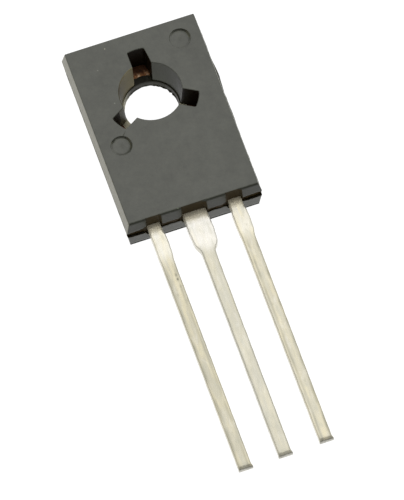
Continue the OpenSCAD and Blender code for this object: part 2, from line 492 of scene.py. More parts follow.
def tab_recess_cutter():
    """Opens the moulding over the tab's exposed face. Its edge wanders, where thin resin has crept onto the metal."""
    creep = wave(31, 0.35)
    fine = wave(32, 0.09)
    x1, y0, y1 = 2.65, -4.15, 2.90
    corner = 0.4
    path = [(-x1, y0), (x1, y0), (x1, y1 - corner), (x1 - corner, y1), (-x1 + corner, y1), (-x1, y1 - corner)]
    pts, nrm, s = [], [], 0.0
    for i in range(len(path)):
        a, b = np.array(path[i]), np.array(path[(i + 1) % len(path)])
        length = np.linalg.norm(b - a)
        n = max(2, int(length / 0.07))
        d = (b - a) / length
        inward = np.array([-d[1], d[0]])
        for k in range(n):
            q = a + d * length * (k + 0.5) / n
            at = s + length * (k + 0.5) / n
            w = 0.028 + 0.020 * float(creep(at)) + 0.014 * float(fine(at))
            pts.append(q + inward * max(w, 0.003))
        s += length
    pts = np.array(pts)
    rings = [np.c_[pts, np.full(len(pts), z)] for z in (-0.4, 0.0115)]
    return loft("recess_cutter", rings)


# ---------------------------------------------------------------- lead frame
def strip_rings(st, top=(0.10, 0.05), low=(0.045, 0.035), path=None, surface=None):
    """Rings along a stamped strip. st rows are y, left x, right x, z of the underside, z of the top."""
    rings = []
    for row in st:
        y, xl, xr, zb, zt = row[:5]
        w = xr - xl
        at, bt = min(top[0], 0.3 * w), top[1]
        al, bl = min(low[0], 0.3 * w), low[1]
        pts = []
        for t in np.linspace(0, 1, 9):
            pts.append((xl + al + (w - 2 * al) * t, zb))
        for a in (22, 45, 68, 90):
            a = math.radians(a)
            pts.append((xr - al + al * math.sin(a), zb + bl * (1 - math.cos(a))))
        for t in np.linspace(0, 1, 6)[1:]:
            pts.append((xr, zb + bl + (zt - bt - zb - bl) * t))
        for a in (15, 30, 45, 60, 75, 90):
            a = math.radians(a)
            pts.append((xr - at + at * math.cos(a), zt - bt + bt * math.sin(a)))
        for t in np.linspace(0, 1, 13)[1:]:
            pts.append((xr - at - (w - 2 * at) * t, zt))
        for a in (15, 30, 45, 60, 75, 90):
            a = math.radians(a)
            pts.append((xl + at - at * math.sin(a), zt - bt * (1 - math.cos(a))))
        for t in np.linspace(0, 1, 6)[1:]:
            pts.append((xl, zt - bt - (zt - bt - zb - bl) * t))
        for a in (22, 45, 68):
            a = math.radians(a)
            pts.append((xl + al * (1 - math.cos(a)), zb + bl * (1 - math.sin(a))))
        pts = np.array(pts)
        ring = np.c_[pts[:, 0], np.full(len(pts), y), pts[:, 1]]
        if surface is not None:
            ring = surface(ring, row)
        rings.append(ring)
    return rings


def interp(table, y):
    t = np.array(table, float)
    o = np.argsort(t[:, 0])
    return np.interp(y, t[o, 0], t[o, 1])


def stations(y_start, y_end, dense):
    """y values from the inner end to the tip, closer together where dense says so."""
    ys = [y_start]
    while ys[-1] > y_end:
        ys.append(ys[-1] - (0.045 if any(a <= ys[-1] <= b for a, b in dense) else 0.09))
    ys[-1] = y_end
    return ys


def lead_object(name, left, right, y_in, tip_y, seed, pits=(), dents=(), skew=0.0):
    """left and right are tables of edge positions by distance below the body, in mm."""
    wl, wr, wt = wave(seed, 0.35), wave(seed + 1, 0.3), wave(seed + 2, 0.5)
    fine_l, fine_r = wave(seed + 3, 0.1), wave(seed + 4, 0.1)
    tip_d = Y_LOW - tip_y
    ys = stations(y_in, tip_y + 0.36, [(Y_LOW - 5.0, Y_LOW + 0.2)]) + [tip_y + 0.31, tip_y + 0.26, tip_y + 0.21, tip_y + 0.165]
    # the sheared end: the strip rolls over a little on top and drags a small burr to the right below
    ys += [tip_y + 0.12, tip_y + 0.085, tip_y + 0.055, tip_y + 0.03, tip_y + 0.012, tip_y]
    st = []
    for y in ys:
        d = Y_LOW - y
        xl = interp(left, d) + (0.006 * float(wl(d)) + 0.003 * float(fine_l(d))) * float(step(0.0, 0.3, d))
        xr = interp(right, d) + (0.006 * float(wr(d)) + 0.003 * float(fine_r(d))) * float(step(0.0, 0.3, d))
        st.append([y, xl, xr, LEAD_Z0, LEAD_Z1])

    def surface(ring, row):
        y = row[0]
        d = Y_LOW - y
        x, z = ring[:, 0], ring[:, 2]
        out = ring.copy()
        upper = np.clip((z - 1.30) / 0.10, 0, 1)
        lower = np.clip((1.06 - z) / 0.10, 0, 1)
        mid = 0.5 * (row[1] + row[2])
        out_body = float(step(-0.05, 0.15, d))
        out[:, 2] -= upper * out_body * (0.004 + 0.004 * float(wt(d)))
        for px, pd, pr, ph in pits:
            q = ((x - px) / pr) ** 2 + ((d - pd) / (pr * 1.5)) ** 2
            out[:, 2] -= upper * ph * np.exp(-q * 1.8)
        for pd, pw, ph in dents:
            out[:, 2] -= upper * ph * math.exp(-(((d - pd) / pw) ** 2))
        # the end
        roll = np.clip((0.36 - (tip_d - d)) / 0.36, 0, 1)
        near = np.clip((0.15 - (tip_d - d)) / 0.15, 0, 1)
        out[:, 2] -= upper * (0.030 * roll**1.8 + 0.045 * near**1.6)
        out[:, 0] += skew * near**0.8 * (0.8 + 0.2 * np.clip((1.2 - z) / 0.27, 0, 1)) * np.clip((x - mid) / 0.36 * 0.5 + 0.5, 0, 1) ** 2
        out[:, 1] += 0.040 * near * lower + 0.012 * near * upper
        return out

    rings = strip_rings(st, surface=surface)
    return loft(name, rings)


def plate(name, outline, z0, z1, edge=0.03, hole=None):
    """A flat plate with slightly broken edges."""
    pts = np.array(outline, float)
    c = pts.mean(0)

    def shrink(e):
        out = []
        n = len(pts)
        for i in range(n):
            a, b, d = pts[i - 1], pts[i], pts[(i + 1) % n]
            e1, e2 = (b - a) / np.linalg.norm(b - a), (d - b) / np.linalg.norm(d - b)
            n1, n2 = np.array([-e1[1], e1[0]]), np.array([-e2[1], e2[0]])
            m = (n1 + n2) / (1 + n1 @ n2)
            out.append(b + m * e)
        return np.array(out)

    rings = []
    for z, e in ((z0, edge), (z0 + edge * 0.4, edge * 0.3), (z0 + edge, 0), (z1 - edge, 0), (z1 - edge * 0.4, edge * 0.3), (z1, edge)):
        p = shrink(e)
        rings.append(np.c_[p, np.full(len(p), z)])
    return loft(name, rings)


def dense_outline(path, gap=0.12):
    pts = []
    for i in range(len(path)):
        a, b = np.array(path[i], float), np.array(path[(i + 1) % len(path)], float)
        n = max(1, int(np.linalg.norm(b - a) / gap))
        for k in range(n):
            pts.append(a + (b - a) * k / n)
    return np.array(pts)


def cylinder(name, r, z0, z1, n=96, edge=0.0):
    a = np.linspace(0, 2 * math.pi, n, endpoint=False)
    rings = []
    for z, rr in ((z0, r), (z1, r)):
        rings.append(np.c_[rr * np.cos(a), rr * np.sin(a), np.full(n, z)])
    return loft(name, rings)


# Lead outlines: distance below the body, x of the edge
L_LEFT = [(-3, -2.65), (0, -2.65), (0.3, -2.655), (0.5, -2.66), (1.85, -2.665), (2.1, -2.655), (8, -2.655), (15, -2.665)]
L_RIGHT = [(-3, -1.93), (0, -1.93), (0.38, -1.93), (0.55, -1.865), (0.9, -1.85), (1.5, -1.855), (1.8, -1.88), (2.1, -1.925), (2.3, -1.93), (8, -1.935), (15, -1.935)]
M_LEFT = [(-3, -0.65), (0, -0.64), (0.4, -0.655), (1.0, -0.66), (1.2, -0.63), (1.5, -0.62), (1.75, -0.595), (1.96, -0.49), (2.11, -0.415), (2.3, -0.385), (8, -0.395), (15, -0.41)]
M_RIGHT = [(-3, 0.65), (0, 0.665), (0.6, 0.70), (1.0, 0.712), (1.5, 0.69), (1.77, 0.665), (1.99, 0.575), (2.08, 0.475), (2.29, 0.365), (3, 0.34), (8, 0.33), (15, 0.32)]
R_LEFT = [(-3, 1.93), (0, 1.925), (0.4, 1.915), (0.55, 1.88), (1.5, 1.875), (1.85, 1.895), (2.1, 1.925), (8, 1.93), (15, 1.925)]
R_RIGHT = [(-3, 2.65), (0, 2.655), (0.4, 2.66), (0.6, 2.725), (1.2, 2.735), (1.8, 2.72), (2.05, 2.66), (2.3, 2.645), (8, 2.645), (15, 2.645)]

POST_IN = [(-6.0, 0.75), (-6.35, 0.36)]


def with_post(left, right, side):
    """Adds the wider bonding post, inside the moulding, to an outer lead's edges."""
    c = side * PITCH
    a, b = (0.55, 0.75) if side > 0 else (0.75, 0.55)
    # distance below the body is y_low - y, so the post at y -4.9 to -6.35 is at -2.38 to -0.93
    left = [(-3, c - b if side > 0 else c - a), (-1.2, c - b if side > 0 else c - a), (-0.93, c - 0.36)] + [r for r in left if r[0] > -0.9]
    right = [(-3, c + a if side > 0 else c + b), (-1.2, c + a if side > 0 else c + b), (-0.93, c + 0.36)] + [r for r in right if r[0] > -0.9]
    return left, right


ll, lr = with_post([r for r in L_LEFT], [r for r in L_RIGHT], -1)
emitter = lead_object("emitter_lead_looks", ll, lr, -4.9, Y_LOW - 14.95, 101,
                      pits=((-2.13, 3.05, 0.035, 0.030), (-2.12, 3.30, 0.045, 0.035), (-2.02, 4.65, 0.03, 0.018), (-2.4, 3.9, 0.05, 0.010), (-2.25, 9.6, 0.04, 0.012)),
                      skew=0.075)
rl, rr = with_post([r for r in R_LEFT], [r for r in R_RIGHT], 1)
base = lead_object("base_lead_looks", rl, rr, -4.9, Y_LOW - 14.83, 131,
                   pits=((2.42, 1.5, 0.035, 0.012), (2.2, 6.4, 0.04, 0.012), (2.35, 11.2, 0.05, 0.012)), skew=0.07)

mid_lead = lead_object("collector_looks", M_LEFT, M_RIGHT, Y_LOW + 0.6, Y_LOW - 14.91, 161,
                       pits=((0.45, 0.62, 0.03, 0.012), (-0.05, 6.2, 0.05, 0.010)), skew=0.07)
for ob in (emitter, base, mid_lead):
    clean(ob)

# the arm inside the body, down to the tab, as one more strip
y0 = -4.15 - 0.25
y1 = y0 - LEAD_Z0
s22 = 0.5 * math.tan(math.radians(22.5))
arm_side = [(y0 + 1, 0.26), (y0 - 0.25, 0.25), (y1 - 0.01, LEAD_Z0 + 0.004), (Y_LOW + 0.5, LEAD_Z0 + 0.004),
            (Y_LOW + 0.5, LEAD_Z1 - 0.004), (y1 + s22, LEAD_Z1 - 0.004), (y0 + s22, 0.494), (y0 + 1, 0.494)]
arm_side = np.array(arm_side)
arm = loft("arm", [np.c_[np.full(len(arm_side), x), arm_side] for x in (-0.655, -0.64, 0.64, 0.655)])
clean(arm)
e, f = 2.65, 2.90
exposed = [(-e, -4.15), (e, -4.15), (e, 2.5), (e - 0.4, 2.9), (-e + 0.4, 2.9), (-e, 2.5)]
ledge = [(-f, y0), (f, y0), (f, 2.7), (f - 0.4, 3.1), (-f + 0.4, 3.1), (-f, 2.7)]
tab = plate("tab", dense_outline(exposed), 0.010, 0.31, edge=0.02)
tab2 = plate("tab2", dense_outline(ledge), 0.25, 0.5, edge=0.015)
for ob in (tab, tab2):
    clean(ob)
boolean(tab, tab2, "UNION")
hole = cylinder("tab_hole", 1.9, -1, 2)
clean(hole)
boolean(tab, hole)
boolean(tab, arm, "UNION")
boolean(mid_lead, tab, "UNION")
collector = mid_lead

# ---------------------------------------------------------------- body, with everything cut out of it
body = loft("epoxy_body_looks", body_rings())
clean(body)
for cutter in (bore_cutter(), lining_cutter(), ejector_cutter(2.51, 2.46, 41, 52, 0.006, 0.095, 2.2, 400), ejector_cutter(-2.53, -2.56, 51, 25, 0.020, 0.085, 1.5, 128), tab_recess_cutter()):
    clean(cutter)
    boolean(body, cutter)
for ob in (collector, emitter, base):
    boolean(body, ob, keep=True)
for n in ("silicon_die", "die_attach_solder", "emitter_bond_wire", "base_bond_wire"):
    c = bpy.data.objects.new("copy", nodes[n].data.copy())
    scene.collection.objects.link(c)
    c.data.transform(Matrix.Scale(1 / MM, 4))
    clean(c, 1e-4)
    grow(c, 0.004)
    boolean(body, c)

for ob in (body, collector, emitter, base):
    to_metres(ob)
shade(body, 38)
for ob in (collector, emitter, base):
    shade(ob, 40)


# ---------------------------------------------------------------- materials
class Nodes:
    def __init__(self, name):
        self.mat = bpy.data.materials.new(name)
        self.mat.use_nodes = True
        self.t = self.mat.node_tree
        self.t.nodes.clear()
        self.out = self.t.nodes.new("ShaderNodeOutputMaterial")
        self.bsdf = self.t.nodes.new("ShaderNodeBsdfPrincipled")
        self.t.links.new(self.bsdf.outputs[0], self.out.inputs[0])
        self.coord = self.t.nodes.new("ShaderNodeTexCoord").outputs["Object"]

    def link(self, a, b):
        self.t.links.new(a, b)

    def mapped(self, scale):
        m = self.t.nodes.new("ShaderNodeMapping")
        m.inputs["Scale"].default_value = scale
        self.link(self.coord, m.inputs["Vector"])
        return m.outputs[0]

    def noise(self, scale, detail=4, rough=0.55, vec=None, distortion=0.0):
        n = self.t.nodes.new("ShaderNodeTexNoise")
        n.inputs["Scale"].default_value = scale
        n.inputs["Detail"].default_value = detail
        n.inputs["Roughness"].default_value = rough
        n.inputs["Distortion"].default_value = distortion
        self.link(vec or self.coord, n.inputs["Vector"])
        return n.outputs["Fac"]

    def voronoi(self, scale, vec=None, feature="F1"):
        n = self.t.nodes.new("ShaderNodeTexVoronoi")
        n.feature = feature
        n.inputs["Scale"].default_value = scale
        self.link(vec or self.coord, n.inputs["Vector"])
        return n.outputs["Distance"]

    def ramp(self, fac, stops, interp="LINEAR"):
        n = self.t.nodes.new("ShaderNodeValToRGB")
        n.color_ramp.interpolation = interp
        els = n.color_ramp.elements
        while len(els) > 1:
            els.remove(els[-1])
        for i, (pos, col) in enumerate(stops):
            el = els[0] if i == 0 else els.new(pos)
            el.position = pos
            el.color = (*col, 1.0) if isinstance(col, (tuple, list)) else (col, col, col, 1.0)
        self.link(fac, n.inputs["Fac"])
        return n.outputs["Color"]

    def math(self, op, a, b=None, c=None, clamp=False):
        n = self.t.nodes.new("ShaderNodeMath")
        n.operation = op
        n.use_clamp = clamp
        for k, v in enumerate((a, b, c)):
            if v is None:
                continue
            if isinstance(v, (int, float)):
                n.inputs[k].default_value = v
            else:
                self.link(v, n.inputs[k])
        return n.outputs[0]

    def mix(self, fac, a, b, blend="MIX"):
        n = self.t.nodes.new("ShaderNodeMix")
        n.data_type = "RGBA"
        n.blend_type = blend
        if isinstance(fac, (int, float)):
            n.inputs["Factor"].default_value = fac
        else:
            self.link(fac, n.inputs["Factor"])
        for key, v in ((6, a), (7, b)):
            if isinstance(v, (tuple, list)):
                n.inputs[key].default_value = (*v, 1.0)
            else:
                self.link(v, n.inputs[key])
        return n.outputs[2]

    def xyz(self):
        n = self.t.nodes.new("ShaderNodeSeparateXYZ")
        self.link(self.coord, n.inputs[0])
        return n.outputs

    def bump(self, height, distance, strength=1.0, normal=None):
        n = self.t.nodes.new("ShaderNodeBump")
        n.inputs["Strength"].default_value = strength
        n.inputs["Distance"].default_value = distance
        self.link(height, n.inputs["Height"])
        if normal is not None:
            self.link(normal, n.inputs["Normal"])
        return n.outputs[0]


def moulding_material(name, base, light, spec, rough, specks=(), painted_gradient=None):
    """Black filled epoxy. base is its dark colour, which in the region copies below also carries painted light and
    shade, light what the mottling lifts it to.
    """
    m = Nodes(name)
    fine = m.noise(16000, 3, 0.6)
    mid = m.noise(4200, 4, 0.6)
    blot = m.noise(1500, 3, 0.55)
    broad = m.noise(420, 3, 0.5)
    level = m.math("MULTIPLY_ADD", m.ramp(broad, [(0.30, 0.0), (0.70, 1.0)]), 0.20, 0.02)
    level = m.math("MULTIPLY_ADD", m.ramp(blot, [(0.32, 0.0), (0.68, 1.0)]), 0.32, level)
    level = m.math("MULTIPLY_ADD", m.ramp(mid, [(0.34, 0.0), (0.66, 1.0)]), 0.34, level)
    level = m.math("MULTIPLY_ADD", m.ramp(fine, [(0.34, 0.0), (0.66, 1.0)]), 0.12, level)
    col = m.mix(level, base, light)
    # fillers showing as tiny paler specks
    speck = m.ramp(m.voronoi(5200), [(0.0, 1.0), (0.07, 1.0), (0.11, 0.0)])
    which = m.ramp(m.noise(2600, 1, 0.5), [(0.56, 0.0), (0.66, 1.0)])
    col = m.mix(m.math("MULTIPLY", m.math("MULTIPLY", speck, which), 0.25), col, (0.20, 0.195, 0.17))
    x, y, z = m.xyz()
    if painted_gradient:
        # a painted gradient of light and shade further up the part, from y of lo to y of hi in mm
        lo, hi, shade_col = painted_gradient
        col = m.mix(m.math("MULTIPLY", m.math("SUBTRACT", y, lo * MM), 1 / ((hi - lo) * MM), clamp=True), col, shade_col)
    # single pale grains: place and size in mm, colour
    for sx, sy, sr, scol in specks:
        dx = m.math("SUBTRACT", x, sx * MM)
        dy = m.math("SUBTRACT", y, sy * MM)
        dist = m.math("SQRT", m.math("ADD", m.math("MULTIPLY", dx, dx), m.math("MULTIPLY", dy, dy)))
        on = m.math("MULTIPLY", m.math("SUBTRACT", sr * MM, dist), 1 / (0.5 * sr * MM), clamp=True)
        col = m.mix(on, col, scol)
    m.link(col, m.bsdf.inputs["Base Color"])
    m.link(m.ramp(mid, [(0.3, rough), (0.7, rough + 0.08)]), m.bsdf.inputs["Roughness"])
    m.bsdf.inputs["IOR"].default_value = 1.55
    m.bsdf.inputs["Specular IOR Level"].default_value = spec
    h = m.bump(fine, 0.000003, 0.4)
    h = m.bump(mid, 0.000006, 0.5, h)
    h = m.bump(broad, 0.00001, 0.3, h)
    m.link(h, m.bsdf.inputs["Normal"])
    return m.mat


def tin_material(name, clean, dull, yellow):
    """Tin plate. clean is its colour by the body, dull further along, yellow how much it has tarnished."""
    m = Nodes(name)

    def attribute(which):
        att = m.t.nodes.new("ShaderNodeAttribute")
        att.attribute_name = which
        return att.outputs["Fac"]

    stain, line, flux = attribute("stain"), attribute("line"), attribute("flux")
    streak = m.noise(1.0, 3, 0.5, m.mapped((7000, 700, 7000)))
    cloud = m.noise(1.0, 3, 0.5, m.mapped((3400, 1300, 3400)), distortion=0.6)
    warm = m.noise(1.0, 2, 0.5, m.mapped((3900, 620, 3300)), distortion=0.3)
    fine = m.noise(9000, 2, 0.5)
    col = m.mix(stain, clean, dull)
    col = m.mix(m.ramp(warm, [(0.42, 0.0), (0.66, yellow)]), col, (0.88, 0.78, 0.50))
    col = m.mix(m.ramp(cloud, [(0.32, 0.30), (0.48, 0.0)]), col, (0.52, 0.52, 0.43))
    col = m.mix(m.ramp(cloud, [(0.54, 0.0), (0.78, 0.22)]), col, (0.93, 0.915, 0.87))
    col = m.mix(m.ramp(streak, [(0.48, 0.0), (0.8, 0.16)]), col, (0.36, 0.34, 0.26))
    col = m.mix(flux, col, (0.98, 0.90, 0.67))
    # the line attribute paints shade lines along the top and at the cut tip, and darker spots over the pits
    col = m.mix(line, col, (0.30, 0.29, 0.215))
    m.link(col, m.bsdf.inputs["Base Color"])
    m.bsdf.inputs["Metallic"].default_value = 0.46
    m.link(m.ramp(cloud, [(0.3, 0.30), (0.75, 0.23)]), m.bsdf.inputs["Roughness"])
    h = m.bump(fine, 0.000002, 0.25)
    h = m.bump(cloud, 0.000008, 0.3, h)
    m.link(h, m.bsdf.inputs["Normal"])
    return m.mat


def copper_material():
    """Bare copper, browned by oxide, with painted shade deeper into the notch and painted highlights along the edge
    next to the bore.
    """
    m = Nodes("bare_copper_painted_shading")
    blotch = m.noise(3800, 3, 0.6, distortion=0.4)
    fine = m.noise(12000, 3, 0.6)
    x, y, z = m.xyz()
    # painted light: bright at y of about 1.92 mm, by the bore's edge, fading to painted shade deeper into the notch
    edge = m.math("MULTIPLY", m.math("SUBTRACT", 0.00224, y), 1 / 0.00028, clamp=True)
    edge = m.math("MULTIPLY", edge, m.math("MULTIPLY", m.math("SUBTRACT", y, 0.00050), 1 / 0.0006, clamp=True))
    # dark is the copper in painted shade, clean its painted highlights
    dark = m.ramp(blotch, [(0.3, (0.055, 0.019, 0.007)), (0.7, (0.17, 0.064, 0.022))])
    clean = m.ramp(blotch, [(0.36, (0.22, 0.082, 0.026)), (0.50, (0.52, 0.24, 0.095)), (0.62, (0.98, 0.66, 0.42))])
    m.link(m.mix(m.math("POWER", edge, 1.6), dark, clean), m.bsdf.inputs["Base Color"])
    m.bsdf.inputs["Metallic"].default_value = 0.55
    m.link(m.ramp(fine, [(0.3, 0.32), (0.7, 0.48)]), m.bsdf.inputs["Roughness"])
    h = m.bump(fine, 0.000004, 0.5)
    h = m.bump(blotch, 0.00001, 0.5, h)
    m.link(h, m.bsdf.inputs["Normal"])
    return m.mat


def sheared_material():
    m = Nodes("sheared_end_painted_shading")
    streak = m.noise(1.0, 4, 0.6, m.mapped((9000, 9000, 2500)))
    z = m.xyz()[2]
    # painted shade on the rolled-over top of the cut end, painted light on its lower face
    low = m.math("MULTIPLY", m.math("SUBTRACT", 0.00134, z), 1 / 0.00026, clamp=True)
    top = m.ramp(streak, [(0.3, (0.14, 0.135, 0.105)), (0.7, (0.26, 0.25, 0.20))])
    lit_low_col = m.ramp(streak, [(0.3, (0.42, 0.41, 0.36)), (0.7, (0.72, 0.70, 0.63))])
    m.link(m.mix(low, top, lit_low_col), m.bsdf.inputs["Base Color"])
    m.bsdf.inputs["Metallic"].default_value = 0.5
    m.link(m.ramp(streak, [(0.3, 0.5), (0.7, 0.65)]), m.bsdf.inputs["Roughness"])
    m.link(m.bump(streak, 0.00001, 0.6), m.bsdf.inputs["Normal"])
    return m.mat


def simple_metal(name, dark, light, rough, scale, metallic=1.0):
    m = Nodes(name)
    n = m.noise(scale, 4, 0.6)
    m.link(m.ramp(n, [(0.3, dark), (0.7, light)]), m.bsdf.inputs["Base Color"])
    m.bsdf.inputs["Metallic"].default_value = metallic
    m.link(m.ramp(n, [(0.3, rough), (0.7, rough + 0.1)]), m.bsdf.inputs["Roughness"])
    m.link(m.bump(n, 0.000004, 0.4), m.bsdf.inputs["Normal"])
    return m.mat


def set_materials(ob, mats, pick=None):
    ob.data.materials.clear()
    for x in mats:
        ob.data.materials.append(x)
    if pick:
        for p in ob.data.polygons:
            p.material_index = pick(p)
    else:
        for p in ob.data.polygons:
            p.material_index = 0


SHADE_LINES = {
    # lead: painted shade lines along its top, where its slightly crowned top turns away from the light, as x from its
    # centre, width, depth
    "emitter": (-PITCH, ((-0.275, 0.085, 0.60), (0.19, 0.080, 0.52))),
    "collector": (0.0, ((-0.33, 0.06, 0.28), (0.26, 0.05, 0.22))),
    "base": (PITCH, ((-0.19, 0.080, 0.58), (0.265, 0.080, 0.66))),
}


SPOTS = {
    # darker spots over the small pits: x, distance below the body, size, how dark
    "emitter": ((-2.13, 3.05, 0.055, 0.95), (-2.12, 3.32, 0.06, 0.80), (-2.10, 3.75, 0.05, 0.45), (-2.02, 4.65, 0.05, 0.55), (-2.42, 4.2, 0.05, 0.4)),
    "collector": ((0.45, 0.62, 0.035, 0.30), (-0.05, 6.2, 0.05, 0.20)),
    "base": ((2.42, 1.5, 0.04, 0.25), (2.2, 6.4, 0.05, 0.30), (2.35, 11.2, 0.05, 0.30)),
}


def stain(ob, which, seed):
    """How dull the tin is at each point, clean next to the body, how strongly it carries painted shade lines along its
    crowned top, darker spots and painted shade at the cut tip, and how much it is yellowed by resin where it leaves the
    body."""
    cx, lines = SHADE_LINES[which]
    drift, depth, cloud, fine = wave(seed, 1.3), wave(seed + 1, 0.6), wave(seed + 2, 0.8), wave(seed + 3, 0.18)
    co = np.empty(len(ob.data.vertices) * 3)
    ob.data.vertices.foreach_get("co", co)
    co = co.reshape(-1, 3) / MM
    d, x = Y_LOW - co[:, 1], co[:, 0] - cx
    v = 0.12 * step(0.5, 0.8, d) + 0.85 * step(1.5, 2.6, d) + 0.08 * cloud(d) + 0.07 * fine(d + 3 * x)
    # a faint duller line straight across the lead, about 0.44 mm below the body
    v += 0.22 * bump(d, 0.44 + 0.02 * cloud(3 * x), 0.05, 1.0)
    w = 0.02 * (1 + fine(d))
    # painted shade lines along the crowned top
    for k, (lx, lw, deep) in enumerate(lines):
        along = step(1.8, 3.0, d) * (0.75 + 0.40 * depth(d + 40 * k))
        w = w + deep * along * np.exp(-(((x - lx - 0.02 * drift(d + 40 * k)) / lw) ** 2) * 1.6)
    # painted shade over the last 0.4 mm, at the rolled-over cut tip
    w = w + 0.22 * np.clip((d - 14.5) / 0.4, 0, 1)
    for px, pd, pr, deep in SPOTS[which]:
        w = w + deep * np.exp(-(((co[:, 0] - px) / pr) ** 2) - ((d - pd) / (pr * 1.6)) ** 2)
    resin = 0.75 * (1 - step(0.10, 0.50, d + 0.05 * fine(4 * x)))
    for name, val in (("stain", v), ("line", w), ("flux", resin)):
        att = ob.data.attributes.new(name, "FLOAT", "POINT")
        att.data.foreach_set("value", np.clip(val, 0, 1).astype(np.float32))


for ob, which, seed in ((emitter, "emitter", 201), (collector, "collector", 211), (base, "base", 221)):
    stain(ob, which, seed)

tin_left = tin_material("tin_plate_emitter", (0.86, 0.83, 0.725), (0.54, 0.508, 0.392), 0.36)
tin_mid = tin_material("tin_plate_collector", (0.90, 0.872, 0.805), (0.585, 0.562, 0.462), 0.18)
tin_right = tin_material("tin_plate_base", (0.81, 0.777, 0.665), (0.61, 0.574, 0.450), 0.40)
copper, sheared = copper_material(), sheared_material()
skin = moulding_material("moulding_skin", (0.044, 0.0465, 0.033), (0.104, 0.1075, 0.084), 0.5, 0.34,
                         specks=((-1.52, 3.21, 0.034, (0.55, 0.52, 0.38)), (-0.87, -7.10, 0.050, (0.42, 0.50, 0.34)),
                                 (-2.29, 2.11, 0.045, (0.22, 0.23, 0.19)), (-2.06, -0.04, 0.05, (0.20, 0.21, 0.17))))
# painted shade: a darker copy of the epoxy for the lead end, which faces away from the light
end_painted_shade = moulding_material("moulding_lead_end_painted_shade", (0.013, 0.0142, 0.0075), (0.025, 0.027, 0.0155), 0.36, 0.36)
# a dark brown copy of the epoxy for the reliefs over the leads and the groove: partly a brown resin stain, partly
# painted shade of these recesses
relief = moulding_material("moulding_reliefs_stain_and_painted_shade", (0.022, 0.0155, 0.0055), (0.042, 0.029, 0.011), 0.08, 0.50)
# painted shade: a near-black brown copy of the epoxy for the walls of the notches and the hole
notch_painted_shade = moulding_material("moulding_notches_painted_shade", (0.0075, 0.0042, 0.0015), (0.014, 0.008, 0.003), 0.055, 0.45)
# painted shading: a darker copy of the epoxy for the bore walls, painted lighter further up the part
bore_painted_shading = moulding_material("moulding_bore", (0.030, 0.0315, 0.0240), (0.046, 0.048, 0.038), 0.050, 0.30, painted_gradient=(0.1, 1.3, (0.115, 0.120, 0.098)))
# painted light: a lit olive copy of the epoxy for the left bore wall, painted lighter still further up the part
bore_left_painted_light = moulding_material("moulding_bore_left", (0.042, 0.033, 0.014), (0.105, 0.087, 0.040), 0.04, 0.36, painted_gradient=(0.70, 1.50, (0.27, 0.235, 0.135)))
# painted highlight: a pale beige copy of the epoxy for the lit inner lip at the left, fading to painted shade further
# up the part
lip_left_painted_highlight = moulding_material("moulding_lip_left", (0.30, 0.28, 0.18), (0.75, 0.71, 0.52), 0.20, 0.34, painted_gradient=(0.70, 1.30, (0.035, 0.032, 0.018)))
# painted light: a paler olive copy of the epoxy for the left notch's walls
notch_left_painted_light = moulding_material("moulding_left_notch_painted_light", (0.075, 0.063, 0.036), (0.160, 0.142, 0.090), 0.08, 0.36)
# painted shade: a near-black copy of the epoxy for the rest of the lip round the bore's foot
lip_painted_shade = moulding_material("moulding_lip", (0.010, 0.0095, 0.005), (0.040, 0.037, 0.020), 0.10, 0.34)
# painted sheen: a lighter olive copy of the epoxy for the sides, standing in for their grazing reflection of the white
# floor
side_painted_sheen = moulding_material("moulding_sides_painted_sheen", (0.095, 0.089, 0.046), (0.150, 0.142, 0.082), 0.60, 0.30)


# Picks each face's slot by place and facing: the epoxy's own colour on the face, and lit and shaded copies of it
# elsewhere, with painted shade on the lead end, reliefs, notches, bore and lip, painted light on the left bore wall,
# left notch and left lip, and painted sheen on the sides.
def body_pick(p):
    x, y, z = (c / MM for c in p.center)
    nx, ny, nz = p.normal
    r = math.hypot(x, y)
    if r < 2.75 and 0.02 < z < T - 0.034:
        radial = abs(nx * x + ny * y) / max(r, 1e-9)
        left = x < -0.35 and y > -1.2
        if r < 1.76 and (radial > 0.8 or z < 0.56):
            if z < 0.52:
                return 7 if left and y < 1.30 and not 0.17 < z < 0.29 else 8
            return 6 if left else 4
        if left and y < 0 and z > 0.56:
            if ny < -0.5 and r < 2.08:
                return 9
            if ny > 0.5 and r < 1.95:
                return 4
        return 3
    if 1.69 < r < 1.80 and z > T - 0.036 and nz < 0.98 and x < -0.5 and y > -1.0:
        return 6
    if y < Y_LOW + 0.36:
        if z > 1.40 and y > Y_LOW + 0.205 and nz < 0.12 and z < T - 0.03:
            return 2
        if 1.435 < z < T - 0.02 and abs(x) < 3.2 and y > float(end_y(z)) + 0.020 + (0.0 if z < T - 0.13 else 1.0):
            return 2
        if z > 1.435 and abs(nx) > 0.35 and abs(x) < 3.2:
            return 2
        if 1.00 < z < 1.60 and (y > Y_LOW + 0.055 or abs(nz) > 0.75) and abs(x) < 3.81 and nz > -0.9:
            return 2
        if ny < -0.5:
            return 1
    if abs(nx) > 0.7 and 0.03 < z < T - 0.03:
        return 5
    return 0


set_materials(body, [skin, end_painted_shade, relief, notch_painted_shade, bore_painted_shading, side_painted_sheen, bore_left_painted_light, lip_left_painted_highlight, lip_painted_shade, notch_left_painted_light], body_pick)


def tip_pick(tip):
    def f(p):
        if p.center[1] < (tip + 0.02) * MM and abs(p.normal[1]) > 0.5:
            return 1
        return 0

    return f


def collector_pick(p):
    if p.center[1] < (Y_LOW - 14.91 + 0.02) * MM and abs(p.normal[1]) > 0.5:
        return 1
    if p.center[1] > -6.9 * MM and p.center[2] > 0.02 * MM:
        return 2
    return 0


